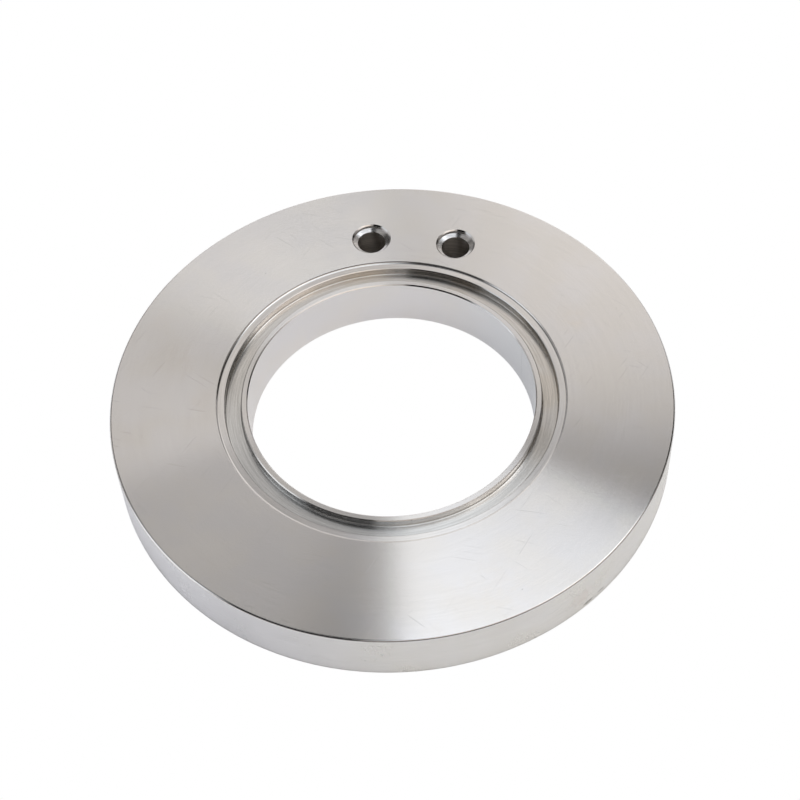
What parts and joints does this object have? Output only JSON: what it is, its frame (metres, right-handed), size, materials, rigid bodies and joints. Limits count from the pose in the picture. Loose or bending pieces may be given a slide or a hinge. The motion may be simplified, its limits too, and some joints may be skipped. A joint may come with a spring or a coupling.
{
  "type": "pipe flange",
  "caption": "Turned ring flange with a flat sealing face, a seal groove round the bore and stepped bolt holes near each other on one side.",
  "frame": {"origin": "centre of the bore on the flat back face, which lies on the floor", "axes": "+Z along the bore towards the grooved sealing face, +Y from the bore's axis to the middle between the two bolt holes, +X along the row of the bolt holes"},
  "size_m": [0.2, 0.2, 0.021],
  "materials": {
    "stainless_steel": "fine turned and polished stainless steel, with faint rings from the cutting tool on the flat faces and small nicks on the rim"
  },
  "bodies": {
    "root": {"flange_ring": "stainless_steel"}
  },
  "joints": []
}
